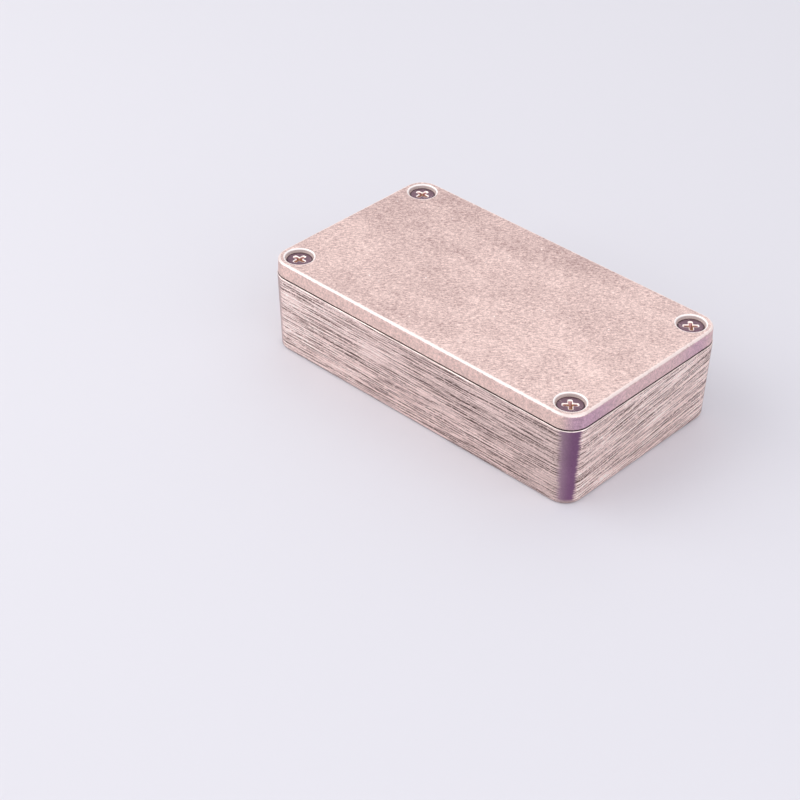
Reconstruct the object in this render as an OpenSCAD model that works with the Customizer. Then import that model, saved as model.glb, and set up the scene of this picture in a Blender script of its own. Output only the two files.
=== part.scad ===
// Die cast aluminium enclosure with a sealed lid held by four captive corner screws.
// The origin is under the middle of the base. +X runs along the length, +Z points up.

/* [Box] */
// Length over the castings
box_l = 115; // [90:1:200]
// Width over the castings
box_w = 65; // [55:1:120]
// Height of the base casting, without its sealing tongue
base_h = 25; // [18:1:60]
// Height of the lid casting
lid_h = 5; // [4.5:0.5:8]
// Radius of the upright corners at the rim
corner_r = 6.5; // [4:0.5:8]
// How far each side of the base leans in from the rim to the foot
base_taper = 0.9; // [0.2:0.1:1.5]
// How far the lid's rim stands back from the base's rim
lid_step = 0.2; // [0:0.05:0.4]
// How far each side of the lid leans in from its rim to its top
lid_taper = 0.1; // [0:0.05:0.3]
// Radius round the foot of the base
foot_r = 1; // [0.5:0.25:2]
// Radius round the top of the lid
lid_edge_r = 0.8; // [0.5:0.25:1.5]
// Chamfer round the base's rim
rim_chamfer = 0.15; // [0.1:0.05:0.4]
// Height of the shadow gap between the castings
gap_h = 0.4; // [0.2:0.05:0.6]
// Depth of that gap, cut into the foot of the lid
gap_d = 0.6; // [0.3:0.1:0.7]

/* [Walls] */
// Thickness of the side walls at the rim
wall_t = 3; // [2.5:0.25:3.5]
// Thickness of the floor
floor_t = 2.5; // [2:0.25:4]
// Thickness of the lid's plate
plate_t = 2.2; // [2:0.1:3]
// How far each inner wall leans in from the rim to the floor
wall_lean = 0.5; // [0.1:0.1:0.8]
// Radius along the foot of the inner walls
fillet_r = 1.5; // [0.5:0.25:2]
// Radius where the inner walls turn towards the screw bosses
bend_r = 2.5; // [2.3:0.1:3]
// Least straight wall between such a turn and a boss
bend_room = 0.3; // [0.2:0.1:0.5]

/* [Seal] */
// Distance from the cavity's edge to the tongue on the rim
tongue_inset = 0.4; // [0.3:0.1:0.8]
// Thickness of the tongue
tongue_t = 1; // [0.8:0.1:1.2]
// Height of the tongue above the rim
tongue_h = 1.5; // [1:0.1:1.8]
// Chamfer along the top of the tongue
tongue_edge = 0.2; // [0.1:0.05:0.3]
// Clearance on each side of the tongue in the lid's groove
tongue_clear = 0.3; // [0.2:0.05:0.35]
// Height of the gasket with the lid screwed down
gasket_h = 1.2; // [0.8:0.1:1.3]
// Clearance on each side of the gasket in the groove
gasket_clear = 0.05; // [0.02:0.01:0.1]
// Thickness of the lip between the groove and the lid's pocket
lip_t = 1.3; // [1:0.1:1.5]
// Chamfer round the inside of the lid's pocket
pocket_edge = 0.5; // [0.2:0.1:1]

/* [Lid screws] */
// Distance from each side of the box to the screw's axis
screw_inset = 6.5; // [6.5:0.25:8]
// Radius of the bosses that carry the screws, at the rim
boss_r = 6.5; // [6:0.25:7]
// Diameter of the countersunk head
head_d = 7.6; // [7:0.1:8]
// Angle of the head's cone
head_angle = 90; // [85:1:100]
// How deep the head lies under the top of the lid
head_sink = 0.9; // [0.5:0.1:1]
// Height of the head's upright edge
head_rim = 0.3; // [0.2:0.1:0.5]
// Chamfer round the top of the head
head_edge = 0.15; // [0.05:0.05:0.15]
// Clearance between the head and its seat in the lid
head_clear = 0.1; // [0.05:0.01:0.15]
// Width of the ring round the head in the lid
head_ring = 0.4; // [0.3:0.1:0.6]
// Chamfer round that ring at the top of the lid
ring_edge = 0.3; // [0.1:0.1:0.4]
// Diameter of the neck that keeps the screw in the lid
neck_d = 3; // [2.8:0.1:3.3]
// Diameter of the thread
thread_d = 3.9; // [3.7:0.05:4.1]
// Clearance of the neck in the lid and of the thread in its hole
shank_clear = 0.1; // [0.05:0.01:0.12]
// How far the neck reaches below the lid
neck_reach = 1.5; // [1:0.1:3]
// Length of the thread
thread_l = 9; // [6:0.5:12]
// Chamfer at the tip of the screw
tip_chamfer = 0.6; // [0.3:0.1:1]
// Depth left under the tip of the screw
tip_room = 1.5; // [1:0.25:3]
// Chamfer round the mouth of the threaded hole
hole_edge = 0.5; // [0.2:0.1:1]
// Span of the cross recess at the top of the head
cross_span = 4.6; // [4:0.1:5]
// Width of each wing of the cross recess
cross_w = 1; // [0.8:0.1:1.2]
// Depth of the cross recess
cross_depth = 1.9; // [1.4:0.1:2.2]
// Angle from upright at which the ends of the wings close in
cross_angle = 26.5; // [20:0.5:28]
// Diameter of the recess's round middle at the top of the head
core_d = 1.5; // [1.2:0.1:1.8]
// How far the round middle reaches below the wings
core_sink = 0.25; // [0.1:0.05:0.4]
// Turn of the recess in each tight screw: front left, front right, rear left, rear right
recess_turns = [0, 43, 0, 43]; // [0:1:89]

/* [Circuit board standoffs] */
// Distance along the length from a screw's axis to a standoff's axis
standoff_in_x = 12; // [12:0.5:16]
// Distance across the width from a screw's axis to a standoff's axis
standoff_in_y = 5; // [3:0.5:8]
// Diameter of a standoff
standoff_d = 6; // [5:0.25:7]
// Height of a standoff above the floor
standoff_h = 4; // [3:0.5:8]
// Chamfer round the foot of a standoff
standoff_foot = 0.5; // [0.2:0.1:1]
// Diameter of the hole in a standoff
pilot_d = 2.5; // [2:0.1:3]
// How far the hole reaches below the floor's surface
pilot_sink = 1; // [0.5:0.1:1.2]

/* [Hidden] */
$fn = 72;
box_h = base_h + lid_h;
// How far a cutter runs past the face that it cuts
past = 1;

// Centres of the upright corners, the screws and the standoffs
corner_x = box_l / 2 - corner_r;
corner_y = box_w / 2 - corner_r;
screw_x = box_l / 2 - screw_inset;
screw_y = box_w / 2 - screw_inset;
standoff_x = screw_x - standoff_in_x;
standoff_y = screw_y - standoff_in_y;

// The cavity's edge at the rim: its four sides, and the notches round the bosses
edge_x = box_l / 2 - wall_t;
edge_y = box_w / 2 - wall_t;
notch_x = screw_x - boss_r;
notch_y = screw_y - boss_r;
bend = min(bend_r, screw_inset - wall_t - bend_room);

// The lid's groove, measured outwards from the cavity's edge
groove_in = tongue_inset - tongue_clear;
groove_w = tongue_t + 2 * tongue_clear;
groove_top = base_h + tongue_h + gasket_h;
plate_z = box_h - plate_t;

// The screw, from the top down
head_z = box_h - head_sink;
cone_rise = 1 / tan(head_angle / 2);
thread_z = base_h - neck_reach;
tip_z = thread_z - thread_l;
hole_z = tip_z - tip_room;
cross_lean = tan(cross_angle);
thread_hole_d = thread_d + 2 * shank_clear;
lid_hole_d = neck_d + 2 * shank_clear;
seat_gap = head_clear / cos(head_angle / 2);
counterbore_r = head_d / 2 + head_ring;

// A quarter of a disc, outwards and down from its centre
module quarter_disc(r) {
    intersection() {
        circle(r);
        translate([0, -r]) square(r);
    }
}

// Section of a block that stands on z0: its side leans from foot_x out to rim_x, and its foot is rounded
module leaning_section(back_x, foot_x, rim_x, z0, z1, r) {
    polygon([
        [back_x, z0],
        [foot_x - r, z0],
        [foot_x - r, z0 + r],
        [foot_x, z0 + r],
        [rim_x, z1],
        [back_x, z1]
    ]);
    translate([foot_x - r, z0 + r]) quarter_disc(r);
}

// A straight stretch of the children's section, centred on [x, y] and facing the angle out
module stretch(x, y, out, length) {
    translate([x, y, 0])
        rotate([0, 0, out])
            rotate([90, 0, 0])
                linear_extrude(length, center = true) children();
}

// A quarter turn of the children's section, about [x, y] and starting at the angle from
module quarter_turn(x, y, from) {
    translate([x, y, 0])
        rotate([0, 0, from])
            rotate_extrude(angle = 90) children();
}

// Block between z0 and z1 with round upright corners, whose sides follow the children's section
module cast_block(z0, z1) {
    translate([-corner_x, -corner_y, z0]) cube([2 * corner_x, 2 * corner_y, z1 - z0]);
    for (side = [0, 180]) {
        rotate([0, 0, side]) {
            stretch(corner_x, 0, 0, 2 * corner_y) children();
            stretch(0, corner_y, 90, 2 * corner_x) children();
            quarter_turn(corner_x, corner_y, 0) children();
            quarter_turn(-corner_x, corner_y, 90) children();
        }
    }
}

// Carries the children's section round the cavity's edge, with x measured outwards from that edge
module round_the_mouth() {
    for (side = [0, 180]) {
        rotate([0, 0, side]) {
            stretch(edge_x, 0, 0, 2 * (notch_y - bend)) children();
            stretch(0, edge_y, 90, 2 * (notch_x - bend)) children();
        }
    }
    for (mx = [0, 1], my = [0, 1])
        mirror([mx, 0, 0])
            mirror([0, my, 0])
                round_a_boss() children();
}

// The part of that path that runs round one screw boss
module round_a_boss() {
    quarter_turn(notch_x - bend, edge_y - bend, 0) translate([bend, 0]) children();
    stretch(notch_x, (edge_y - bend + screw_y) / 2, 0, edge_y - bend - screw_y) children();
    quarter_turn(screw_x, screw_y, 180) translate([boss_r, 0]) mirror([1, 0]) children();
    stretch((edge_x - bend + screw_x) / 2, notch_y, 90, edge_x - bend - screw_x) children();
    quarter_turn(edge_x - bend, notch_y - bend, 0) translate([bend, 0]) children();
}

// Everything inside the mouth between z0 and z1, whose sides follow the children's section
module mouth_block(z0, z1) {
    inner_x = edge_x - bend;
    inner_y = edge_y - bend;
    cut_x = notch_x - bend;
    cut_y = notch_y - bend;
    translate([0, 0, z0])
        linear_extrude(z1 - z0) {
            square([2 * inner_x, 2 * cut_y], center = true);
            square([2 * cut_x, 2 * inner_y], center = true);
            for (mx = [0, 1], my = [0, 1])
                mirror([mx, 0])
                    mirror([0, my])
                        difference() {
                            translate([cut_x, cut_y]) square([screw_x - cut_x, screw_y - cut_y]);
                            translate([screw_x, screw_y]) circle(boss_r + bend);
                        }
        }
    round_the_mouth() children();
}

module at_screws() {
    for (x = [-screw_x, screw_x], y = [-screw_y, screw_y])
        translate([x, y, 0]) children();
}

module at_standoffs() {
    for (x = [-standoff_x, standoff_x], y = [-standoff_y, standoff_y])
        translate([x, y, 0]) children();
}

// The hollow of the base, open at the rim
module cavity() {
    mouth_block(floor_t, base_h + past) {
        leaning_section(-bend, -wall_lean, 0, floor_t, base_h, min(fillet_r, bend - wall_lean));
        translate([-bend, base_h]) square([bend, past]);
    }
}

// Blind hole in a boss, with a countersunk mouth and a drilled tip
module thread_hole() {
    r = thread_hole_d / 2;
    rotate_extrude()
        polygon([
            [0, hole_z - r / 2],
            [r, hole_z],
            [r, base_h - hole_edge],
            [r + hole_edge + past, base_h + past],
            [0, base_h + past]
        ]);
}

// Hole for a screw in the lid: ring round the head, countersunk seat and the hole for the neck
module lid_screw_hole() {
    hole_r = lid_hole_d / 2;
    seat_z = head_z - head_rim;
    seat_r = head_d / 2 + seat_gap;
    rotate_extrude()
        polygon([
            [0, base_h - past],
            [hole_r, base_h - past],
            [hole_r, seat_z - (seat_r - hole_r) * cone_rise],
            [seat_r, seat_z],
            [counterbore_r, seat_z],
            [counterbore_r, box_h - ring_edge],
            [counterbore_r + ring_edge + past, box_h + past],
            [0, box_h + past]
        ]);
}

module base() {
    color([0.66, 0.66, 0.68])
        difference() {
            union() {
                difference() {
                    cast_block(0, base_h) base_section();
                    cavity();
                }
                round_the_mouth() tongue_section();
                at_standoffs() standoff();
            }
            at_screws() thread_hole();
            at_standoffs() pilot_hole();
        }
}

module base_section() {
    rim_z = base_h - rim_chamfer;
    leaning_section(0, corner_r - base_taper, corner_r, 0, rim_z, foot_r);
    polygon([
        [0, rim_z],
        [corner_r, rim_z],
        [corner_r - rim_chamfer, base_h],
        [0, base_h]
    ]);
}

module tongue_section() {
    translate([tongue_inset, base_h])
        polygon([
            [0, 0],
            [tongue_t, 0],
            [tongue_t, tongue_h - tongue_edge],
            [tongue_t - tongue_edge, tongue_h],
            [tongue_edge, tongue_h],
            [0, tongue_h - tongue_edge]
        ]);
}

// Post for a circuit board, a little wider at its foot
module standoff() {
    translate([0, 0, floor_t]) {
        cylinder(h = standoff_foot, r1 = standoff_d / 2 + standoff_foot, r2 = standoff_d / 2);
        cylinder(h = standoff_h, d = standoff_d);
    }
}

module pilot_hole() {
    translate([0, 0, floor_t - pilot_sink]) cylinder(h = pilot_sink + standoff_h + past, d = pilot_d);
}

module lid() {
    color([0.74, 0.73, 0.73])
        difference() {
            cast_block(base_h, box_h) lid_section();
            round_the_mouth() groove_section();
            mouth_block(base_h - past, plate_z) pocket_section();
            at_screws() lid_screw_hole();
        }
}

// The lid's side leans inwards as it rises, up to the round edge of its top
module lid_section() {
    rim_x = corner_r - lid_step;
    top_x = rim_x - lid_taper;
    polygon([
        [0, base_h],
        [rim_x - gap_d, base_h],
        [rim_x - gap_d, base_h + gap_h],
        [rim_x, base_h + gap_h],
        [top_x, box_h - lid_edge_r],
        [top_x - lid_edge_r, box_h - lid_edge_r],
        [top_x - lid_edge_r, box_h],
        [0, box_h]
    ]);
    translate([top_x - lid_edge_r, box_h - lid_edge_r]) mirror([0, 1]) quarter_disc(lid_edge_r);
}

module groove_section() {
    translate([groove_in, base_h - past]) square([groove_w, groove_top - base_h + past]);
}

// The pocket stops short of the groove by the thickness of the lip
module pocket_section() {
    side_x = groove_in - lip_t;
    polygon([
        [-bend, base_h - past],
        [side_x, base_h - past],
        [side_x, plate_z - pocket_edge],
        [side_x - pocket_edge, plate_z],
        [-bend, plate_z]
    ]);
}

module gasket() {
    color([0.12, 0.12, 0.13])
        round_the_mouth()
            translate([groove_in + gasket_clear, base_h + tongue_h])
                square([groove_w - 2 * gasket_clear, gasket_h]);
}

module lid_screw(side_x, side_y, turn) {
    color([0.55, 0.54, 0.52])
        translate([side_x * screw_x, side_y * screw_y, 0])
            rotate([0, 0, turn])
                difference() {
                    screw_blank();
                    cross_recess();
                }
}

// The turned screw: countersunk head, neck and thread
module screw_blank() {
    head_r = head_d / 2;
    neck_r = neck_d / 2;
    thread_r = thread_d / 2;
    rotate_extrude()
        polygon([
            [0, tip_z],
            [thread_r - tip_chamfer, tip_z],
            [thread_r, tip_z + tip_chamfer],
            [thread_r, thread_z - thread_r + neck_r],
            [neck_r, thread_z],
            [neck_r, head_z - head_rim - (head_r - neck_r) * cone_rise],
            [head_r, head_z - head_rim],
            [head_r, head_z - head_edge],
            [head_r - head_edge, head_z],
            [0, head_z]
        ]);
}

// Four wings that narrow towards a pointed bottom
module cross_recess() {
    span = cross_span + 2 * past * cross_lean;
    translate([0, 0, head_z - cross_depth])
        intersection() {
            cylinder(h = cross_depth + past, r1 = cross_span / 2 - cross_depth * cross_lean, r2 = span / 2);
            translate([0, 0, cross_depth / 2 + past / 2])
                for (turn = [0, 90])
                    rotate([0, 0, turn]) cube([span, cross_w, cross_depth + past], center = true);
        }
    core_depth = cross_depth + core_sink;
    translate([0, 0, head_z - core_depth])
        cylinder(h = core_depth + past, r1 = 0, r2 = core_d / 2 * (core_depth + past) / core_depth);
}

base();
lid();
gasket();
lid_screw(-1, -1, recess_turns[0]);  // lid_screw_front_left
lid_screw(1, -1, recess_turns[1]);  // lid_screw_front_right
lid_screw(-1, 1, recess_turns[2]);  // lid_screw_rear_left
lid_screw(1, 1, recess_turns[3]);  // lid_screw_rear_right
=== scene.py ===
import math

import bpy
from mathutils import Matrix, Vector


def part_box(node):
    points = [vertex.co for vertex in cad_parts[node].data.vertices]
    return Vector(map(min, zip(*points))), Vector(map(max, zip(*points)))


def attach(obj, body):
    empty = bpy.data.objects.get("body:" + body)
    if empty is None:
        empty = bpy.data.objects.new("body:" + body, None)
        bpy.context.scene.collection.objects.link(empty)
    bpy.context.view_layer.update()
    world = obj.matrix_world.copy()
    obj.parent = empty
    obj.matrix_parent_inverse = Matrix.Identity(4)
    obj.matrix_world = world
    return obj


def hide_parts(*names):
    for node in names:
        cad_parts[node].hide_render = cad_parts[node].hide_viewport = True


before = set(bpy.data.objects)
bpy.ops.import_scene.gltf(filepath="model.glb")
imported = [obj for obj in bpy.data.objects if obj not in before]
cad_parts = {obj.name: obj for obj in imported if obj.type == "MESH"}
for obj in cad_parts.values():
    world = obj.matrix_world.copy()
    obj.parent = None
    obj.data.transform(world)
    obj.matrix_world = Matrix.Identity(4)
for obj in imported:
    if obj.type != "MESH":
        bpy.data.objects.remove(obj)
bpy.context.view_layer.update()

print("frame loaded:", sorted(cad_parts))

mm = 0.001
screwNodes = {
    "front_left": "lid_screw_front_left",
    "front_right": "lid_screw_front_right",
    "rear_left": "lid_screw_rear_left",
    "rear_right": "lid_screw_rear_right",
}

baseLow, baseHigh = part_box("base")
lidLow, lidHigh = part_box("lid")
screwLow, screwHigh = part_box(screwNodes["rear_right"])

# the outside of the castings and the screws' places, in millimetres
box = {
    "halfLength": baseHigh.x / mm,
    "halfWidth": baseHigh.y / mm,
    "lidHalfLength": lidHigh.x / mm,
    "lidHalfWidth": lidHigh.y / mm,
    "cornerRadius": 6.5,
    "lean": 0.9,
    "rim": lidLow.z / mm,
    "top": lidHigh.z / mm,
    "screwX": (screwLow.x + screwHigh.x) / 2 / mm,
    "screwY": (screwLow.y + screwHigh.y) / 2 / mm,
    "headTop": screwHigh.z / mm,
    "screwTip": screwLow.z / mm,
    "threadPitch": 0.7,
}

# what the camera and the lamps point at
boxMiddle = Vector((0, 0, 15 * mm))


# a colour as a screen shows it, from 0 to 255, turned into the values that a socket takes
def screenColour(red, green, blue):
    def linear(value):
        share = value / 255
        return share / 12.92 if share <= 0.04045 else ((share + 0.055) / 1.055) ** 2.4
    return (linear(red), linear(green), linear(blue), 1)


class Wire:
    # a socket that adds, multiplies and subtracts like a number
    def __init__(self, paint, socket):
        self.paint = paint
        self.socket = socket

    def __add__(self, other):
        return self.paint.sum("ADD", self, other)

    def __radd__(self, other):
        return self.paint.sum("ADD", other, self)

    def __sub__(self, other):
        return self.paint.sum("SUBTRACT", self, other)

    def __rsub__(self, other):
        return self.paint.sum("SUBTRACT", other, self)

    def __mul__(self, other):
        return self.paint.sum("MULTIPLY", self, other)

    def __truediv__(self, other):
        return self.paint.sum("DIVIDE", self, other)

    def __pow__(self, other):
        return self.paint.sum("POWER", self, other)

    def __abs__(self):
        return self.paint.sum("ABSOLUTE", self)


class Paint:
    # a material, or the world, while its nodes are made
    def __init__(self, owner):
        owner.use_nodes = True
        self.owner = owner
        self.tree = owner.node_tree
        self.tree.nodes.clear()
        place = self.node("ShaderNodeTexCoord")
        # millimetres from the middle of the box's foot
        self.spot = self.scaled(place.outputs["Object"], (1 / mm,) * 3)
        parts = self.node("ShaderNodeSeparateXYZ", {}, {"Vector": self.spot})
        self.x = Wire(self, parts.outputs["X"])
        self.y = Wire(self, parts.outputs["Y"])
        self.z = Wire(self, parts.outputs["Z"])

    def node(self, kind, settings=None, sockets=None):
        made = self.tree.nodes.new(kind)
        for key, value in (settings or {}).items():
            setattr(made, key, value)
        for key, value in (sockets or {}).items():
            if isinstance(value, Wire):
                self.tree.links.new(value.socket, made.inputs[key])
            elif isinstance(value, bpy.types.NodeSocket):
                self.tree.links.new(value, made.inputs[key])
            else:
                made.inputs[key].default_value = value
        return made

    def sum(self, operation, *values):
        made = self.node("ShaderNodeMath", {"operation": operation}, dict(enumerate(values)))
        return Wire(self, made.outputs[0])

    def least(self, first, second):
        return self.sum("MINIMUM", first, second)

    def most(self, first, second):
        return self.sum("MAXIMUM", first, second)

    def vector(self, operation, *values):
        made = self.node("ShaderNodeVectorMath", {"operation": operation}, dict(enumerate(values)))
        return Wire(self, made.outputs[0])

    def scaled(self, vector, factors):
        return self.vector("MULTIPLY", vector, factors)

    # 0 on one side of the two values and 1 on the other, with a soft step between
    def step(self, value, start, end):
        made = self.node(
            "ShaderNodeMapRange",
            {"interpolation_type": "SMOOTHSTEP"},
            {"Value": value, "From Min": start, "From Max": end},
        )
        return Wire(self, made.outputs["Result"])

    # 1 between two values, with soft ends
    def band(self, value, start, end, soft):
        return self.step(value, start - soft, start) * self.step(value, end + soft, end)

    # noise whose grains measure the given millimetres along x, y and z; each has its own shift
    def noise(self, grain, detail, roughness, shift, spot=None):
        spots = self.scaled(spot or self.spot, tuple(1 / size for size in grain))
        moved = self.vector("ADD", spots, (shift, shift * 1.7, shift * 0.6))
        made = self.node(
            "ShaderNodeTexNoise",
            {"noise_dimensions": "3D"},
            {"Vector": moved, "Scale": 1, "Detail": detail, "Roughness": roughness},
        )
        return Wire(self, made.outputs[0])

    # round spots that lie about the given millimetres apart: 1 in the middle of each
    def spots(self, size, reach, shift):
        moved = self.vector("ADD", self.scaled(self.spot, (1 / size,) * 3), (shift,) * 3)
        made = self.node(
            "ShaderNodeTexVoronoi",
            {"feature": "F1"},
            {"Vector": moved, "Scale": 1, "Randomness": 1},
        )
        return self.step(Wire(self, made.outputs["Distance"]), reach, reach * 0.4)

    # the first colour turned into the second; 6, 7 and 2 are the node's colour sockets
    def mixed(self, share, first, second):
        made = self.node("ShaderNodeMix", {"data_type": "RGBA"}, {0: share, 6: first, 7: second})
        return Wire(self, made.outputs[2])

    # a colour made lighter or darker by a factor
    def shaded(self, colour, factor):
        made = self.node(
            "ShaderNodeVectorMath",
            {"operation": "SCALE"},
            {0: colour if isinstance(colour, Wire) else colour[:3], "Scale": factor},
        )
        return Wire(self, made.outputs[0])

    # millimetres outside a rectangle with round corners
    def outline(self, halfLength, halfWidth, radius):
        outX = abs(self.x) - (halfLength - radius)
        outY = abs(self.y) - (halfWidth - radius)
        reachX = self.most(outX, 0)
        reachY = self.most(outY, 0)
        corner = (reachX * reachX + reachY * reachY) ** 0.5
        return corner + self.least(self.most(outX, outY), 0) - radius

    # millimetres from the axis of the nearest of four places
    def fromFour(self, placeX, placeY):
        awayX = abs(self.x) - placeX
        awayY = abs(self.y) - placeY
        return (awayX * awayX + awayY * awayY) ** 0.5

    # a thin ring of the given radius, as an ejector pin leaves it
    def ring(self, distance, radius):
        return self.band(distance, radius - 0.1, radius + 0.1, 0.12)

    # 1 for what the camera sees, itself or in metal and glass
    def seen(self):
        rays = self.node("ShaderNodeLightPath").outputs
        mirrored = self.most(
            Wire(self, rays["Is Glossy Ray"]), Wire(self, rays["Is Transmission Ray"])
        )
        return self.most(Wire(self, rays["Is Camera Ray"]), mirrored)

    def surface(self, colour, roughness, metallic, height=None, depth=0):
        sockets = {"Base Color": colour, "Roughness": roughness, "Metallic": metallic}
        if height is not None:
            bump = self.node("ShaderNodeBump", {}, {"Height": height, "Distance": depth * mm})
            sockets["Normal"] = bump.outputs["Normal"]
        return self.node("ShaderNodeBsdfPrincipled", {}, sockets).outputs["BSDF"]

    def finish(self, *values):
        self.node("ShaderNodeOutputMaterial", {}, {"Surface": self.surface(*values)})
        return self.owner


# a new material with a clean node tree
def newPaint(name):
    return Paint(bpy.data.materials.new(name))


# colours as a screen shows them, sizes and places in millimetres; where a finish changes
# between two values, both are given
baseFinish = {
    "metallic": 0.75,
    "scratch": screenColour(255, 229, 222),
    "groove": screenColour(90, 69, 65),
    "cut": screenColour(76, 57, 54),
    "skin": screenColour(184, 163, 160),
    "frontSkinAndReflection": screenColour(164, 138, 150),
    "mauveSkinReflection": screenColour(122, 85, 117),
    "rubbedRimHighlight": screenColour(255, 240, 234),
    "gap": screenColour(140, 116, 107),
    "deepGap": screenColour(84, 66, 62),
    "inside": screenColour(176, 170, 170),
    "machined": screenColour(226, 218, 215),
    "roughness": 0.52,
    "scratchLength": 42.0,
    "scratchWidth": 0.3,
    "scratchPitch": 0.86,
    "scratchClimb": 0.11,
    "scratchWaver": 0.12,
    "rippleShare": 0.64,
    "fineShare": 4.0,
    "shortShare": 1.2,
    "brokenShare": 0.9,
    "fleckShare": 0.3,
    "glintShare": 0.7,
    "darkShare": 0.25,
    "brightShare": 0.8,
    "flatPastLong": (2.9, 0.9),
    "flatPastShort": (2.9, 1.6),
    "footHeight": (0.25, 0.8),
    "smoothPatch": (-16.0, 16.5, 5.5),
    "patchFlatness": 0.7,
    "wallDepth": (1.6, 1.2),
    "reflectionAlong": (30.0, 50.0),
    "reflectionAcross": (-10.0, -28.0),
    "rubbedHighlightHeight": (0.26, 0.15),
    "holeReach": (2.75, 2.6),
    "floorLevels": (2.0, 3.2),
    "pinMarks": (27.0, 17.0, 3.0),
    "relief": 0.03,
}


def baseMaterial():
    paint = newPaint("base_casting")
    finish = baseFinish
    x, y, z = paint.x, paint.y, paint.z
    rim = box["rim"]
    out = paint.outline(box["halfLength"], box["halfWidth"], box["cornerRadius"])
    out = out + (rim - z) * (box["lean"] / rim)
    deep, shallow = finish["wallDepth"]
    outside = paint.step(out, -deep, -shallow)

    # scratches follow the long sides and climb a little along the short ones
    cornerX = box["halfLength"] - box["cornerRadius"]
    cornerY = box["halfWidth"] - box["cornerRadius"]
    turned = abs(x) - cornerX - abs(y) + cornerY
    atEnds = paint.step(turned, -0.5, 0.5)
    wave = paint.noise((34, 34, 22), 1, 0.5, 31) - 0.5
    level = z - y * atEnds * finish["scratchClimb"] + wave * finish["scratchWaver"]
    levelled = paint.node("ShaderNodeCombineXYZ", {}, {"X": x, "Y": y, "Z": level})
    laid = levelled.outputs["Vector"]

    # ripples with a drifting phase carry finer, shorter and broken scratches
    length = finish["scratchLength"]
    width = finish["scratchWidth"]
    fine = paint.noise((length, length, width), 3, 0.8, 1, laid)
    short = paint.noise((length * 0.25, length * 0.25, width * 0.9), 2, 0.7, 27, laid)
    drift = paint.noise((length * 0.7, length * 0.7, 1.5), 2, 0.5, 36, laid) * 16 + short * 6
    ripple = paint.sum("SINE", level * (2 * math.pi / finish["scratchPitch"]) + drift)
    coarse = paint.noise((13, 13, 0.8), 1, 0.6, 5, laid)
    broken = paint.noise((2.8, 2.8, 0.26), 1, 0.7, 9, laid)
    patch = paint.noise((15, 15, 8), 2, 0.5, 12)
    lay = ripple * finish["rippleShare"] + (fine - 0.5) * finish["fineShare"]
    lay = lay + (short - 0.5) * finish["shortShare"] + (broken - 0.5) * finish["brokenShare"]
    specks = paint.noise((0.9, 0.9, 0.4), 1, 0.6, 47, laid)
    flecks = paint.step(specks, 0.4, 0.3)
    # the glints are small painted highlights
    glints = paint.step(specks, 0.55, 0.66)
    # single strokes follow the level lines of two smooth noises
    hills = paint.noise((length * 0.8, length * 0.8, 0.5), 1, 0.5, 45, laid) - 0.5
    bright = paint.step(abs(hills), 0.1, 0.02) * paint.step(short, 0.38, 0.5)
    valleys = paint.noise((length * 0.6, length * 0.6, 0.6), 1, 0.5, 51, laid) - 0.5
    dark = paint.step(abs(valleys), 0.09, 0.03) * paint.step(short, 0.56, 0.48)

    # the flats are sanded past the start of the round corners and down to the smooth foot
    ragged = (paint.noise((3, 3, 0.4), 2, 0.7, 3) - 0.5) * 1.9
    farthest, nearest = finish["flatPastLong"]
    longSide = paint.step(abs(x) + ragged, cornerX + farthest, cornerX + nearest)
    farthest, nearest = finish["flatPastShort"]
    shortSide = paint.step(abs(y) + ragged, cornerY + farthest, cornerY + nearest)
    flats = paint.most(longSide, shortSide) * outside
    flats = flats * paint.step(z + ragged * 0.3, *finish["footHeight"])

    # one place on the front where the sanding has worn away
    patchX, patchZ, patchSize = finish["smoothPatch"]
    awayX = (x - patchX) / patchSize
    awayZ = (z - patchZ) / (patchSize * finish["patchFlatness"])
    worn = paint.step(awayX * awayX + awayZ * awayZ + (coarse - 0.5) * 2 + ragged, 1.8, 0)
    worn = worn * paint.step(y, -30, -31)  # on the front side alone
    fresh = 1 - worn
    depth = (0.86 + patch * 0.3 + x * 0.0018 * (1 - atEnds)) * (1 - worn * 0.5)
    depth = depth * (1 - atEnds * 0.2)
    shine = 0.43 + lay * depth + worn * 0.35

    # groove and scratch tones, then the flecks and strokes over them
    cloud = paint.noise((9, 9, 9), 3, 0.55, 20)
    grit = paint.noise((0.5, 0.5, 0.5), 2, 0.6, 23)
    # painted light: the long sides grow darker from left to right, and the short ends are painted
    # lighter
    paintedLightSweep = 1.03 - x * 0.0032 * (1 - atEnds) + atEnds * 0.16
    tone = paint.mixed(shine, finish["groove"], finish["scratch"])
    tone = paint.mixed(flecks * fresh * finish["fleckShare"], tone, finish["groove"])
    tone = paint.mixed(glints * finish["glintShare"], tone, finish["scratch"])
    tone = paint.mixed(dark * fresh * depth * finish["darkShare"], tone, finish["cut"])
    tone = paint.mixed(bright * fresh * finish["brightShare"], tone, finish["scratch"])
    tone = paint.shaded(tone, (0.5 + patch * 0.3 + grit * 0.7) * paintedLightSweep)

    # the bare front right corner gets a painted mauve reflection, darkest where it turns to the
    # short end
    frontReflection = paint.step(x, *finish["reflectionAlong"]) * paint.step(y, *finish["reflectionAcross"])
    frontReflection = frontReflection * paint.step(z, 0.6, 2)
    skin = paint.mixed(paint.step(turned, -5.5, 1.5), finish["frontSkinAndReflection"], finish["mauveSkinReflection"])
    skin = paint.mixed(frontReflection, finish["skin"], skin)
    skin = paint.shaded(skin, 0.72 + cloud * 0.36 + grit * 0.36 - z * 0.005)
    inside = paint.shaded(finish["inside"], 0.72 + cloud * 0.36 + grit * 0.2)
    colour = paint.mixed(outside, inside, skin)
    colour = paint.mixed(flats, colour, tone)
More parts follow.
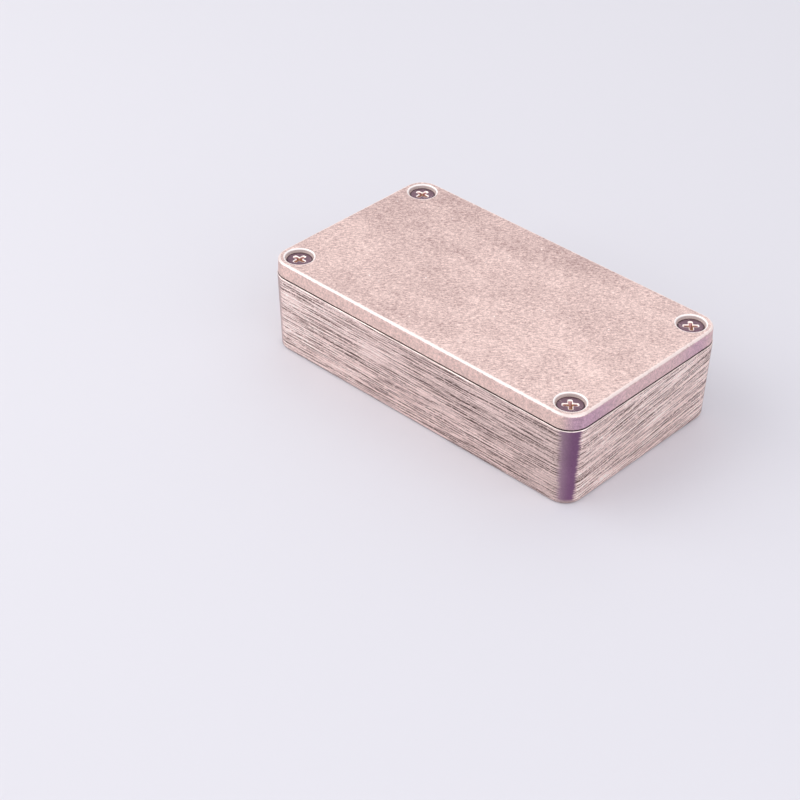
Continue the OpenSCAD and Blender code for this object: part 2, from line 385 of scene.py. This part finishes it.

    # the rim's outer edge is painted bright, as wear and a painted highlight, its seal face is
    # machined, and painted shade lies in the gap
    lowest, highest = finish["rubbedHighlightHeight"]
    edge = paint.step(z, rim - lowest, rim - highest) * outside
    rubbedHighlight = edge * (0.55 + paint.step(coarse, 0.4, 0.55) * 0.3)
    colour = paint.mixed(rubbedHighlight, colour, finish["rubbedRimHighlight"])
    face = paint.step(z, rim - 0.02, rim - 0.005)
    arcs = paint.noise((6, 0.4, 6), 2, 0.6, 41)
    colour = paint.mixed(face * 0.9, colour, paint.shaded(finish["machined"], 0.86 + arcs * 0.28))
    # the gap's colour is painted shade, darker towards the corners
    nearCorner = paint.most(paint.step(abs(x), 30, 44), atEnds)
    gapShade = paint.mixed(nearCorner, finish["gap"], finish["deepGap"])
    colour = paint.mixed(face * paint.step(out, -0.9, -0.45) * 0.85, colour, gapShade)

    # cut threads, and the round marks that the ejector pins leave in the floor
    fromHole = paint.fromFour(box["screwX"], box["screwY"])
    inHole = paint.step(fromHole, *finish["holeReach"]) * paint.step(z, rim + 0.02, rim - 0.02)
    turns = paint.sum("SINE", z * (2 * math.pi / box["threadPitch"]))
    colour = paint.mixed(inHole, colour, paint.shaded(finish["machined"], 0.5 + turns * 0.3))
    pinX, pinY, pinRadius = finish["pinMarks"]
    fromPin = paint.fromFour(pinX, pinY)
    onFloor = paint.band(z, *finish["floorLevels"], 0.2) * (1 - outside)
    pinRing = paint.ring(fromPin, pinRadius) * onFloor
    pinDisc = paint.step(fromPin, pinRadius, pinRadius - 0.1) * onFloor
    colour = paint.mixed(pinDisc * 0.3, colour, finish["machined"])
    colour = paint.mixed(pinRing * 0.6, colour, finish["groove"])

    rough = finish["roughness"] - flats * shine * 0.12 - (1 - flats) * outside * 0.1
    rough = rough - edge * 0.1 - face * 0.1 + (1 - outside) * 0.08
    height = (lay - flecks - dark + bright) * flats + cloud * 1.2 * (1 - flats) + grit * 0.5
    height = height + turns * inHole * 6 - pinRing * 3 + arcs * face * 0.6
    return paint.finish(colour, rough, finish["metallic"], height, finish["relief"])


lidFinish = {
    "metallic": 0.75,
    "top": screenColour(243, 221, 214),
    "topDull": screenColour(170, 144, 141),
    "side": screenColour(227, 199, 190),
    "sideMauveReflection": screenColour(198, 163, 180),
    "edge": screenColour(240, 225, 220),
    "nick": screenColour(255, 250, 248),
    "inside": screenColour(176, 170, 170),
    "machined": screenColour(255, 251, 248),
    "bore": screenColour(226, 204, 199),
    "roughness": 0.66,
    "gritShare": 1.4,
    "hairShare": 1.2,
    "speckShare": 0.5,
    "cloudShare": 0.6,
    "smearShare": 0.5,
    "nickSpacing": 3.4,
    "pitSpacing": 5.3,
    "plate": 2.2,
    "sideBelow": (0.55, 0.8),
    "reflectionAlong": (30.0, 50.0),
    "reflectionAcross": (30.0, 20.0),
    "cutReach": (4.75, 4.5),
    "cutLine": (4.15, 4.3),
    "cutBelow": (1.6, 1.4),
    "footAbove": (0.46, 0.38),
    "pinMarks": (30.0, 15.0, 3.0),
    "relief": 0.03,
}


def lidMaterial():
    paint = newPaint("lid_casting")
    finish = lidFinish
    x, y, z = paint.x, paint.y, paint.z
    top = box["top"]
    rim = box["rim"]
    out = paint.outline(box["lidHalfLength"], box["lidHalfWidth"], box["cornerRadius"] - 0.2)
    fromScrew = paint.fromFour(box["screwX"], box["screwY"])

    # the matte top: fine grain, soft clouds and a few bright nicks
    grit = paint.noise((0.42, 0.42, 0.42), 1, 0.6, 2)
    speck = paint.noise((1.1, 1.1, 1.1), 2, 0.6, 8)
    cloud = paint.noise((13, 13, 13), 3, 0.6, 14)
    smear = paint.noise((26, 9, 9), 2, 0.5, 17)
    along = (x + y) * 0.7
    across = (x - y) * 0.7
    slanted = paint.node("ShaderNodeCombineXYZ", {}, {"X": along, "Y": across, "Z": z})
    hairs = paint.noise((1.3, 0.45, 1), 1, 0.6, 33, slanted.outputs["Vector"])
    tone = 0.5 + (grit - 0.5) * finish["gritShare"] + (hairs - 0.5) * finish["hairShare"]
    tone = tone + (speck - 0.5) * finish["speckShare"] + (cloud - 0.5) * finish["cloudShare"]
    # x and y add painted light: the top is lighter towards +x and towards the front
    tone = tone + (smear - 0.5) * finish["smearShare"] + x * 0.0012 - y * 0.0024
    colour = paint.mixed(tone, finish["topDull"], finish["top"])
    nicks = paint.spots(finish["nickSpacing"], 0.11, 4) * paint.step(speck, 0.5, 0.6)
    colour = paint.mixed(nicks * 0.7, colour, finish["nick"])
    pits = paint.spots(finish["pitSpacing"], 0.07, 11)
    colour = paint.mixed(pits * 0.4, colour, finish["topDull"])

    # the side below the rounded edge is smooth, with a painted mauve reflection on the right end
    highest, lowest = finish["sideBelow"]
    side = paint.step(out, -0.4, -0.2) * paint.step(z, top - highest, top - lowest)
    lines = paint.noise((7, 7, 0.5), 2, 0.6, 22)
    turned = abs(x) - box["lidHalfLength"] - abs(y) + box["lidHalfWidth"]
    mauveReflection = paint.step(x, *finish["reflectionAlong"]) * paint.step(y, *finish["reflectionAcross"])
    mauveReflection = paint.step(turned, -5, 1.5) * (0.25 + mauveReflection * 0.75)
    sideTone = paint.mixed(mauveReflection, finish["side"], finish["sideMauveReflection"])
    endMiddle = paint.step(abs(y), 26, 8) * paint.step(abs(x), 55, 56)
    sideTone = paint.mixed(endMiddle * 0.6, sideTone, finish["side"])
    # painted shade darkens the middle of each round corner
    corner = paint.band(turned, -3, 3, 2.5)
    mottle = 0.22 + grit * 0.8 + speck * 0.6 + lines * 0.2 - corner * 0.12
    sideTone = paint.shaded(sideTone, mottle)
    colour = paint.mixed(side, colour, sideTone)

    # the rounded edge is painted bright, as wear and a painted highlight, and the foot gets
    # painted shade in the joint's gap
    ragged = (speck - 0.5) * 0.5
    edge = paint.step(out + ragged, -0.95, -0.7) * paint.step(z + ragged, top - 0.62, top - 0.42)
    edgeWearAndHighlight = edge * (0.8 + paint.step(speck, 0.35, 0.6) * 0.2)
    colour = paint.mixed(edgeWearAndHighlight, colour, finish["edge"])
    above, below = finish["footAbove"]
    footShade = paint.step(z, rim + above, rim + below) * paint.step(out, -1.2, -1.0)
    colour = paint.mixed(footShade * 0.85, colour, paint.shaded(finish["side"], 0.1))

    # the screws' counterbores are cut bright
    deepest, highest = finish["cutBelow"]
    cut = paint.step(fromScrew, *finish["cutReach"])
    cut = cut * paint.step(z, top - deepest, top - highest)
    grain = paint.noise((0.12, 0.12, 0.12), 1, 0.5, 28)
    cutLine = paint.step(fromScrew, *finish["cutLine"])
    cutTone = paint.mixed(cutLine, finish["bore"], finish["machined"])
    colour = paint.mixed(cut, colour, paint.shaded(cutTone, 0.94 + grain * 0.12))

    # the underside keeps its cast skin, with marks of the ejector pins
    plateFoot = top - finish["plate"]
    under = paint.step(z, plateFoot + 0.15, plateFoot + 0.05) * paint.step(out, -0.9, -1.2)
    inside = paint.shaded(finish["inside"], 0.72 + cloud * 0.36 + grit * 0.2)
    colour = paint.mixed(under, colour, inside)
    pinX, pinY, pinRadius = finish["pinMarks"]
    pinRing = paint.ring(paint.fromFour(pinX, pinY), pinRadius) * under
    colour = paint.mixed(pinRing * 0.6, colour, paint.shaded(finish["inside"], 0.45))

    rough = finish["roughness"] + (grit - 0.5) * 0.15 - side * 0.16
    rough = rough - edgeWearAndHighlight * 0.26 - cut * 0.3 - nicks * 0.2
    metallic = finish["metallic"] - cut * 0.65 - edgeWearAndHighlight * 0.25
    height = grit * 0.7 + speck * 0.5 + cloud * 1.5 + nicks * 1.2 - pits - pinRing * 3
    height = height * (1 - cut * 0.8)
    return paint.finish(colour, rough, metallic, height, finish["relief"])


gasketFinish = {
    "rubber": screenColour(46, 46, 49),
    "dust": screenColour(120, 118, 116),
    "roughness": 0.58,
    "relief": 0.02,
}


def rubberMaterial():
    paint = newPaint("gasket_rubber")
    cloud = paint.noise((3, 3, 3), 2, 0.5, 4)
    grain = paint.noise((0.25, 0.25, 0.25), 2, 0.6, 6)
    dust = paint.step(paint.noise((1.1, 1.1, 1.1), 3, 0.7, 9), 0.6, 0.75)
    colour = paint.shaded(gasketFinish["rubber"], 0.75 + cloud * 0.5)
    colour = paint.mixed(dust * 0.25, colour, gasketFinish["dust"])
    rough = gasketFinish["roughness"] + grain * 0.15
    return paint.finish(colour, rough, 0.0, grain, gasketFinish["relief"])


# millimetres, and degrees for the angles; recessFootShare narrows a wing towards its foot,
# threadFootShare is a share of the pitch and threadCrestShare one of the ridge's foot
screwShape = {
    "headRadius": 3.8,
    "headRim": 0.3,
    "headEdge": 0.18,
    "neckRadius": 1.5,
    "neckDrop": 5.6,
    "neckStep": 0.05,
    "coreRadius": 1.55,
    "tipChamfer": 0.5,
    "recessSpan": 4.25,
    "recessEnd": 2.5,
    "recessWidth": 1.0,
    "recessFootShare": 0.86,
    "recessDepth": 1.9,
    "recessRound": 0.22,
    "wingRound": 0.28,
    "coneDiameter": 1.7,
    "coneDeeper": 0.25,
    "coneTip": 0.04,
    "coneSides": 24,
    "cutterAbove": 0.6,
    "cutterSegments": 4,
    "roundSegments": 3,
    "threadRadius": 1.94,
    "threadInset": 0.08,
    "threadStart": 0.45,
    "threadFootShare": 0.94,
    "threadCrestShare": 0.14,
    "threadSteps": 36,
    "fadeRings": 5,
    "segments": 96,
    "smoothAngle": 32,
    "headFinishDrop": 2.1,
    "turns": {"front_left": 0, "front_right": 43, "rear_left": 0, "rear_right": 43},
}

screwFinish = {
    "head": screenColour(112, 87, 99),
    "headRim": screenColour(62, 42, 50),
    "recess": screenColour(255, 242, 236),
    "recessWall": screenColour(196, 150, 150),
    "recessMiddle": screenColour(220, 188, 142),
    "thread": screenColour(214, 208, 200),
    "rimReach": (3.3, 3.6),
    "edgeBelow": (0.22, 0.4),
    "middleReach": (1.3, 0.7),
    "headRoughness": 0.3,
    "recessRoughness": 0.34,
    "recessMetallic": 0.55,
    "threadRoughness": 0.36,
    "relief": 0.008,
    "recessRelief": 0.01,
}


def toObjectMode():
    bpy.ops.object.mode_set(mode="OBJECT")


def editAll():
    bpy.ops.object.mode_set(mode="EDIT")
    bpy.ops.mesh.select_all(action="SELECT")


def deselect():
    if bpy.context.object and bpy.context.object.mode != "OBJECT":
        toObjectMode()
    bpy.ops.object.select_all(action="DESELECT")


def only(piece):
    deselect()
    piece.select_set(True)
    bpy.context.view_layer.objects.active = piece


# selects the vertices for which the test is true, or the edges whose two ends pass it
def pick(piece, kind, test):
    bpy.ops.object.mode_set(mode="EDIT")
    bpy.ops.mesh.select_mode(type=kind)
    bpy.ops.mesh.select_all(action="DESELECT")
    toObjectMode()
    mesh = piece.data
    if kind == "VERT":
        for vertex in mesh.vertices:
            vertex.select = test(vertex.co)
    else:
        for edge in mesh.edges:
            ends = [mesh.vertices[index].co for index in edge.vertices]
            edge.select = all(test(end) for end in ends)
    bpy.ops.object.mode_set(mode="EDIT")
    bpy.ops.mesh.select_mode(type=kind)


def applyTransform():
    bpy.ops.object.transform_apply(location=True, rotation=True, scale=True)


def applyModifier(piece, kind, **settings):
    only(piece)
    modifier = piece.modifiers.new(kind.lower(), kind)
    for key, value in settings.items():
        setattr(modifier, key, value)
    bpy.ops.object.modifier_apply(modifier=modifier.name)


def tidyMesh(piece):
    only(piece)
    editAll()
    bpy.ops.mesh.remove_doubles(threshold=0.002 * mm)
    bpy.ops.mesh.normals_make_consistent(inside=False)
    toObjectMode()


# head, neck and core as one turned blank, drawn down step by step from the head's top
def screwBlank():
    shape = screwShape
    top = box["headTop"]
    slope = shape["headRadius"] - shape["neckRadius"]
    neckEnd = top - shape["neckDrop"]
    steps = [
        (shape["headRadius"] - shape["headEdge"] * 0.3, top - shape["headEdge"] * 0.3),
        (shape["headRadius"], top - shape["headEdge"]),
        (shape["headRadius"], top - shape["headRim"]),
        (shape["neckRadius"], top - shape["headRim"] - slope),
        (shape["neckRadius"], neckEnd + shape["neckStep"]),
        (shape["coreRadius"], neckEnd),
        (shape["coreRadius"], box["screwTip"] + shape["tipChamfer"]),
        (shape["coreRadius"] - shape["tipChamfer"], box["screwTip"]),
    ]
    radius = shape["headRadius"] - shape["headEdge"]
    deselect()
    bpy.ops.mesh.primitive_circle_add(
        vertices=shape["segments"], radius=radius * mm, fill_type="NGON", location=(0, 0, top * mm)
    )
    blank = bpy.context.object
    applyTransform()
    editAll()
    level = top
    for nextRadius, nextLevel in steps:
        bpy.ops.mesh.extrude_region_move(
            TRANSFORM_OT_translate={"value": (0, 0, (nextLevel - level) * mm)}
        )
        growth = nextRadius / radius
        bpy.ops.transform.resize(value=(growth, growth, 1), center_override=(0, 0, nextLevel * mm))
        radius = nextRadius
        level = nextLevel
    toObjectMode()
    tidyMesh(blank)
    return blank


# one wing pair of the recess: a bar that narrows downwards, with rounded upright edges
def recessCutter(turn):
    shape = screwShape
    above = shape["cutterAbove"]
    depth = shape["recessDepth"]
    height = depth + above
    lean = (shape["recessSpan"] - shape["recessEnd"]) / 2 / depth
    span = shape["recessSpan"] + 2 * lean * above
    middle = box["headTop"] + (above - depth) / 2
    deselect()
    bpy.ops.mesh.primitive_cube_add(size=mm, location=(0, 0, middle * mm))
    bar = bpy.context.object
    bar.scale = (span, shape["recessWidth"], height)
    applyTransform()
    pick(bar, "VERT", lambda spot: spot.z < middle * mm)
    low = (0, 0, (box["headTop"] - depth) * mm)
    shares = (shape["recessEnd"] / span, shape["recessFootShare"], 1)
    bpy.ops.transform.resize(value=shares, center_override=low)
    toObjectMode()
    pick(bar, "EDGE", lambda spot: True)
    toObjectMode()
    for edge in bar.data.edges:
        ends = [bar.data.vertices[index].co for index in edge.vertices]
        edge.select = abs(ends[0].z - ends[1].z) > height / 2 * mm
    bpy.ops.object.mode_set(mode="EDIT")
    segments = shape["cutterSegments"]
    bpy.ops.mesh.bevel(offset=shape["wingRound"] * mm, segments=segments, affect="EDGES")
    bpy.ops.mesh.select_all(action="SELECT")
    bpy.ops.transform.rotate(value=math.radians(turn), orient_axis="Z", center_override=(0, 0, 0))
    toObjectMode()
    tidyMesh(bar)
    return bar


# the hollow in the middle of the recess, between the wings
def recessCone():
    shape = screwShape
    above = shape["cutterAbove"]
    depth = shape["recessDepth"] + shape["coneDeeper"]
    slope = shape["coneDiameter"] / 2 / depth
    deselect()
    bpy.ops.mesh.primitive_cone_add(
        vertices=shape["coneSides"],
        radius1=shape["coneTip"] * mm,
        radius2=slope * (depth + above) * mm,
        depth=(depth + above) * mm,
        location=(0, 0, (box["headTop"] + (above - depth) / 2) * mm),
    )
    cone = bpy.context.object
    applyTransform()
    tidyMesh(cone)
    return cone


def cutRecess(blank):
    shape = screwShape
    for cutter in (recessCutter(0), recessCutter(90), recessCone()):
        applyModifier(blank, "BOOLEAN", object=cutter, operation="DIFFERENCE", solver="EXACT")
        bpy.data.objects.remove(cutter)
    tidyMesh(blank)
    # the stamped edge of the recess is rounded over
    reach = (shape["headRadius"] - shape["headEdge"] - 0.1) * mm
    high = (box["headTop"] - 0.002) * mm
    pick(blank, "EDGE", lambda spot: spot.z > high and spot.xy.length < reach)
    toObjectMode()
    mesh = blank.data
    topFaces = [set(face.vertices) for face in mesh.polygons if face.center.z > high]
    for edge in mesh.edges:
        if edge.select:
            edge.select = sum(set(edge.vertices) <= face for face in topFaces) == 1
    bpy.ops.object.mode_set(mode="EDIT")
    segments = shape["roundSegments"]
    bpy.ops.mesh.bevel(offset=shape["recessRound"] * mm, segments=segments, affect="EDGES")
    toObjectMode()
    tidyMesh(blank)


# a ridge that winds round the core and runs out at both ends
def screwThread():
    shape = screwShape
    pitch = box["threadPitch"]
    steps = shape["threadSteps"]
    neckEnd = box["headTop"] - shape["neckDrop"]
    first = box["screwTip"] + shape["threadStart"]
    turns = int((neckEnd - first) / pitch)
    inner = shape["coreRadius"] - shape["threadInset"]
    depth = shape["threadRadius"] - inner
    halfway = (inner + depth / 2) * mm
    deselect()
    bpy.ops.mesh.primitive_plane_add(size=mm, rotation=(math.pi / 2, 0, 0))
    ridge = bpy.context.object
    ridge.scale = (depth, pitch * shape["threadFootShare"], 1)
    ridge.location = (halfway, 0, first * mm)
    applyTransform()
    pick(ridge, "VERT", lambda spot: spot.x > halfway)
    crest = (shape["threadRadius"] * mm, 0, first * mm)
    bpy.ops.transform.resize(value=(1, 1, shape["threadCrestShare"]), center_override=crest)
    toObjectMode()
    applyModifier(
        ridge, "SCREW", steps=steps, render_steps=steps, iterations=turns, screw_offset=pitch * mm
    )
    # the crest is drawn in, ring by ring, over the last few rings at both ends
    lastRing = steps * turns
    crestReach = 0.06 * mm
    sameDirection = 0.995
    for end in range(shape["fadeRings"]):
        for ring in (end, lastRing - end):
            angle = 2 * math.pi * ring / steps
            level = (first + pitch * ring / steps) * mm
            away = Vector((math.cos(angle), math.sin(angle)))
            share = (inner + depth * (end + 0.4) / shape["fadeRings"]) / shape["threadRadius"]
            pick(ridge, "VERT", lambda spot: (
                spot.xy.length > halfway
                and abs(spot.z - level) < crestReach
                and spot.xy.normalized().dot(away) > sameDirection
            ))
            bpy.ops.transform.resize(value=(share, share, 1), center_override=(0, 0, level))
            toObjectMode()
    editAll()
    bpy.ops.mesh.fill_holes(sides=0)
    toObjectMode()
    tidyMesh(ridge)
    return ridge


def screwHeadMaterial():
    paint = newPaint("screw_head")
    cloud = paint.noise((0.8, 0.8, 0.8), 2, 0.5, 4)
    scuff = paint.step(paint.noise((2.4, 0.3, 1), 3, 0.7, 7), 0.58, 0.7)
    fromAxis = paint.fromFour(box["screwX"], box["screwY"])
    rim = paint.step(fromAxis + (cloud - 0.5) * 0.5, *screwFinish["rimReach"])
    colour = paint.mixed(rim * 0.8, screwFinish["head"], screwFinish["headRim"])
    colour = paint.shaded(colour, 0.7 + cloud * 0.6)
    colour = paint.mixed(scuff * 0.3, colour, screwFinish["recess"])
    rough = screwFinish["headRoughness"] + cloud * 0.1
    return paint.finish(colour, rough, 1.0, cloud + scuff * 0.3, screwFinish["relief"])


def screwRecessMaterial():
    paint = newPaint("screw_recess")
    cloud = paint.noise((0.5, 0.5, 0.5), 2, 0.6, 8)
    # the recess's rounded top edge is painted near white, a painted highlight; the walls and
    # middle below keep darker tones
    highest, lowest = screwFinish["edgeBelow"]
    low = paint.step(paint.z, box["headTop"] - highest, box["headTop"] - lowest)
    fromAxis = paint.fromFour(box["screwX"], box["screwY"])
    middle = paint.step(fromAxis, *screwFinish["middleReach"])
    inside = paint.mixed(middle, screwFinish["recessWall"], screwFinish["recessMiddle"])
    colour = paint.mixed(low, screwFinish["recess"], inside)
    colour = paint.shaded(colour, 0.8 + cloud * 0.4)
    rough = screwFinish["recessRoughness"]
    metallic = screwFinish["recessMetallic"]
    return paint.finish(colour, rough, metallic, cloud, screwFinish["recessRelief"])


def screwThreadMaterial():
    paint = newPaint("screw_thread")
    cloud = paint.noise((1.2, 1.2, 1.2), 2, 0.6, 12)
    grain = paint.noise((0.3, 0.3, 0.3), 2, 0.6, 3)
    colour = paint.shaded(screwFinish["thread"], 0.75 + cloud * 0.3 + grain * 0.2)
    rough = screwFinish["threadRoughness"] + cloud * 0.1
    return paint.finish(colour, rough, 1.0, grain, screwFinish["relief"])


def makeScrews():
    shape = screwShape
    blank = screwBlank()
    cutRecess(blank)
    ridge = screwThread()
    only(blank)
    ridge.select_set(True)
    bpy.context.view_layer.objects.active = blank
    bpy.ops.object.join()
    only(blank)
    bpy.ops.object.shade_smooth_by_angle(angle=math.radians(shape["smoothAngle"]))
    for material in (screwHeadMaterial(), screwRecessMaterial(), screwThreadMaterial()):
        blank.data.materials.append(material)
    head, recess, thread = range(3)
    top = box["headTop"]
    rimFoot = top - shape["headRim"]
    reach = shape["recessSpan"] / 2 + shape["recessRound"] + 0.05
    for face in blank.data.polygons:
        spot = face.center / mm
        if spot.z < rimFoot - shape["headFinishDrop"]:
            face.material_index = thread
        elif spot.xy.length < reach and spot.z < top - 0.001:
            # the countersunk cone lies as near to the axis, and keeps the head's finish
            onCone = spot.xy.length > shape["headRadius"] - (rimFoot - spot.z) - 0.05
            face.material_index = head if onCone and spot.z < top - 0.5 else recess
    for name, node in screwNodes.items():
        low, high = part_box(node)
        screw = blank.copy()
        screw.data = blank.data.copy()
        screw.name = "screw_" + name
        bpy.context.scene.collection.objects.link(screw)
        only(screw)
        editAll()
        turn = -math.radians(shape["turns"][name])
        bpy.ops.transform.rotate(value=turn, orient_axis="Z", center_override=(0, 0, 0))
        middle = (low + high) / 2
        bpy.ops.transform.translate(value=(middle.x, middle.y, 0))
        toObjectMode()
        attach(screw, "screw_" + name)
        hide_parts(node)
    bpy.data.objects.remove(blank)
    print("screws made")


makeScrews()


def dress():
    finishes = {
        "base": baseMaterial(),
        "lid": lidMaterial(),
        "gasket": rubberMaterial(),
    }
    for name, material in finishes.items():
        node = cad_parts[name]
        node.data.materials.clear()
        node.data.materials.append(material)


dress()
print("finishes made")


stageSettings = {
    "floorSize": 6.0,
    "floorColour": screenColour(221, 220, 226),
    "floorRoughness": 0.9,
    "fadeFrom": 250.0,
    "fadeTo": 1100.0,
    "farColour": screenColour(240, 237, 241),
    "worldColour": (0.80, 0.80, 0.84, 1),
    "worldStrength": 0.74,
}


def makeStage():
    settings = stageSettings
    deselect()
    bpy.ops.mesh.primitive_plane_add(size=settings["floorSize"], location=(0, 0, 0))
    floor = bpy.context.object
    floor.name = "floor"
    # far from the box the floor fades into the pale surroundings, where it is seen
    paint = newPaint("floor_paper")
    away = (paint.x * paint.x + paint.y * paint.y) ** 0.5
    paper = paint.surface(settings["floorColour"], settings["floorRoughness"], 0.0)
    glow = paint.node("ShaderNodeEmission", {}, {"Color": settings["farColour"]})
    far = paint.step(away, settings["fadeFrom"], settings["fadeTo"]) * paint.seen()
    fade = paint.node("ShaderNodeMixShader", {}, {0: far, 1: paper, 2: glow.outputs[0]})
    paint.node("ShaderNodeOutputMaterial", {}, {"Surface": fade.outputs[0]})
    floor.data.materials.append(paint.owner)

    # the world lights the box a little, and is seen as the pale surroundings
    world = bpy.data.worlds.new("studio")
    bpy.context.scene.world = world
    air = Paint(world)
    light = {"Color": settings["worldColour"], "Strength": settings["worldStrength"]}
    pale = {"Color": settings["farColour"], "Strength": 1.0}
    lit = air.node("ShaderNodeBackground", {}, light)
    shown = air.node("ShaderNodeBackground", {}, pale)
    choice = {0: air.seen(), 1: lit.outputs[0], 2: shown.outputs[0]}
    sky = air.node("ShaderNodeMixShader", {}, choice)
    air.node("ShaderNodeOutputWorld", {}, {"Surface": sky.outputs[0]})


lamps = {
    "key": {"place": (-0.46, -0.42, 0.50), "size": 0.9, "power": 3.95, "colour": (1, 0.985, 0.97)},
    "rear": {"place": (-0.22, 0.46, 0.50), "size": 0.8, "power": 1.0, "colour": (1, 0.99, 0.98)},
    "side": {"place": (0.58, -0.12, 0.36), "size": 0.9, "power": 2.25, "colour": (0.98, 0.97, 1)},
}


def makeLamps():
    for name, lamp in lamps.items():
        data = bpy.data.lights.new("lamp_" + name, "AREA")
        data.shape = "SQUARE"
        data.size = lamp["size"]
        data.energy = lamp["power"]
        data.color = lamp["colour"]
        holder = bpy.data.objects.new("lamp_" + name, data)
        holder.location = lamp["place"]
        ahead = boxMiddle - Vector(lamp["place"])
        holder.rotation_euler = ahead.to_track_quat("-Z", "Y").to_euler()
        bpy.context.scene.collection.objects.link(holder)


# angles in degrees, distances in metres, lens and sensor in millimetres
cameraSettings = {
    "azimuth": 43.167,
    "elevation": 35.962,
    "roll": 0.808,
    "distance": 0.6012,
    "aimRight": -0.025331,
    "aimUp": -0.019616,
    "lens": 94.19,
    "sensor": 36.0,
    "clipStart": 0.01,
}


def makeCamera():
    settings = cameraSettings
    azimuth = math.radians(settings["azimuth"])
    elevation = math.radians(settings["elevation"])
    roll = math.radians(settings["roll"])
    back = Vector((
        math.sin(azimuth) * math.cos(elevation),
        -math.cos(azimuth) * math.cos(elevation),
        math.sin(elevation),
    ))
    right = Vector((math.cos(azimuth), math.sin(azimuth), 0))
    up = back.cross(right)
    rolledRight = right * math.cos(roll) + up * math.sin(roll)
    rolledUp = up * math.cos(roll) - right * math.sin(roll)
    aim = boxMiddle + right * settings["aimRight"] + up * settings["aimUp"]
    data = bpy.data.cameras.new("camera")
    data.sensor_width = settings["sensor"]
    data.lens = settings["lens"]
    data.clip_start = settings["clipStart"]
    camera = bpy.data.objects.new("camera", data)
    placed = camera.matrix_world.copy()
    for column, axis in enumerate((rolledRight, rolledUp, back)):
        for row in range(3):
            placed[row][column] = axis[row]
    placed.translation = aim + back * settings["distance"]
    camera.matrix_world = placed
    bpy.context.scene.collection.objects.link(camera)
    bpy.context.scene.camera = camera


makeStage()
makeLamps()
makeCamera()
bpy.context.scene.view_settings.view_transform = "Standard"
print("stage, lamps and camera made")
